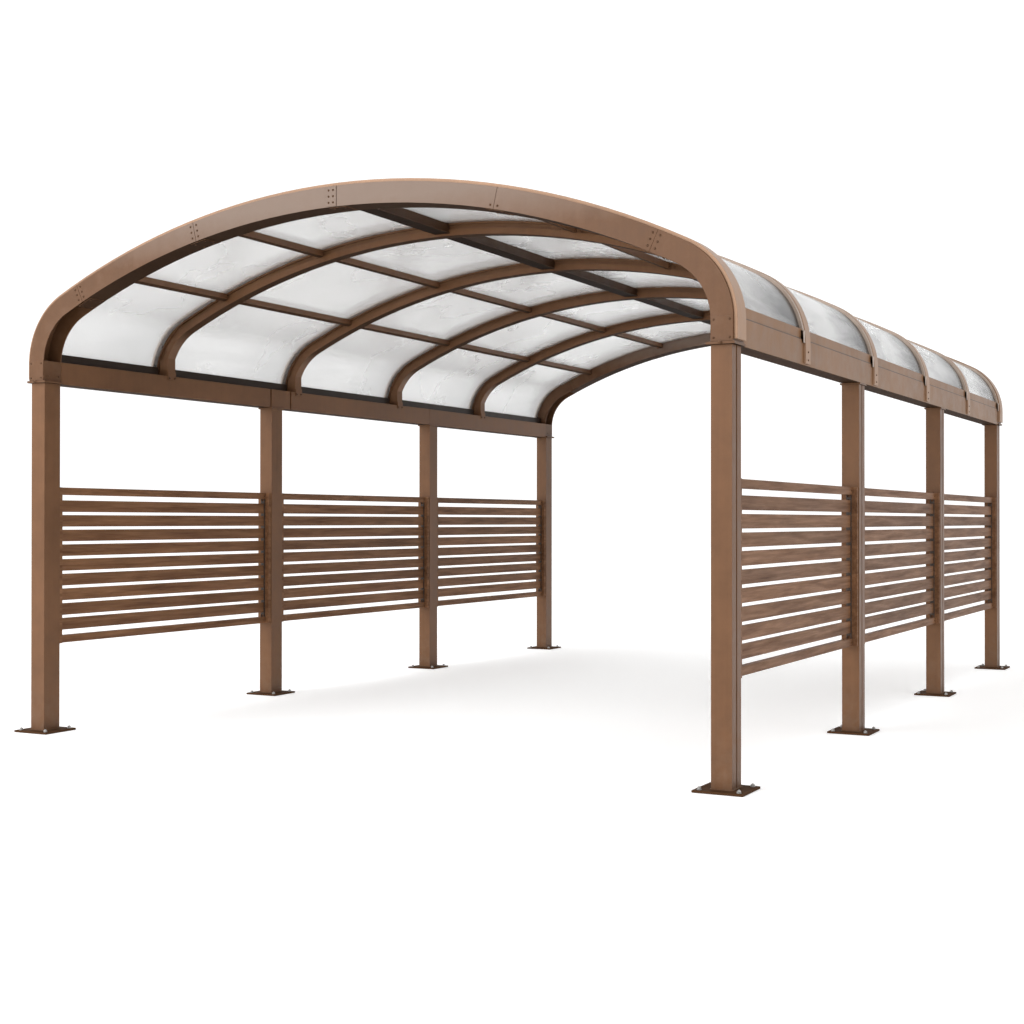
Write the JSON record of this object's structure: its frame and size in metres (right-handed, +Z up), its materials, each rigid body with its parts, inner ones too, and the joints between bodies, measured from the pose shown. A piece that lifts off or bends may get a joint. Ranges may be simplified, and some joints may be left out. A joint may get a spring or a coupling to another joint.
{
  "type": "arched roof carport",
  "caption": "Open carport with posts on base plates, slatted side panels and an arched clear roof on curved ribs between two end arches.",
  "frame": {"origin": "on the ground, at the middle of the rectangle that the base plates span", "axes": "+X across the bay to the right, +Y along the bay from the front end with the short roof bay to the rear end, +Z up"},
  "size_m": [4.805, 7.33, 3.231],
  "materials": {
    "frame": "satin bronze-brown powder coat",
    "roof_frame": "satin dark bronze-brown powder coat",
    "slats": "wood-grain brown coating",
    "roofing": "glossy opal polycarbonate",
    "caps": "satin bronze-brown powder coat"
  },
  "bodies": {
    "root": {"left_post_1": "frame", "left_post_2": "frame", "left_post_3": "frame", "left_post_4": "frame", "right_post_1": "frame", "right_post_2": "frame", "right_post_3": "frame", "right_post_4": "frame", "left_side_panel_1": "slats", "left_side_panel_2": "slats", "left_side_panel_3": "slats", "right_side_panel_1": "slats", "right_side_panel_2": "slats", "right_side_panel_3": "slats", "left_eaves_beams": "frame", "right_eaves_beams": "frame", "left_beam_joint": "frame", "right_beam_joint": "frame", "left_fascia": "frame", "right_fascia": "frame", "left_gutter_rail": "frame", "right_gutter_rail": "frame", "front_arch_left_corner": "frame", "front_arch_right_corner": "frame", "rear_arch_left_corner": "frame", "rear_arch_right_corner": "frame", "front_arch_left_crown": "frame", "front_arch_right_crown": "frame", "rear_arch_left_crown": "frame", "rear_arch_right_crown": "frame", "rib_1": "roof_frame", "rib_2": "roof_frame", "rib_3": "roof_frame", "rib_4": "roof_frame", "ridge_beam": "roof_frame", "left_purlins": "roof_frame", "right_purlins": "roof_frame", "roof_sheet_1": "roofing", "roof_sheet_2": "roofing", "roof_sheet_3": "roofing", "roof_sheet_4": "roofing", "roof_sheet_5": "roofing", "cover_caps": "caps"}
  },
  "joints": []
}
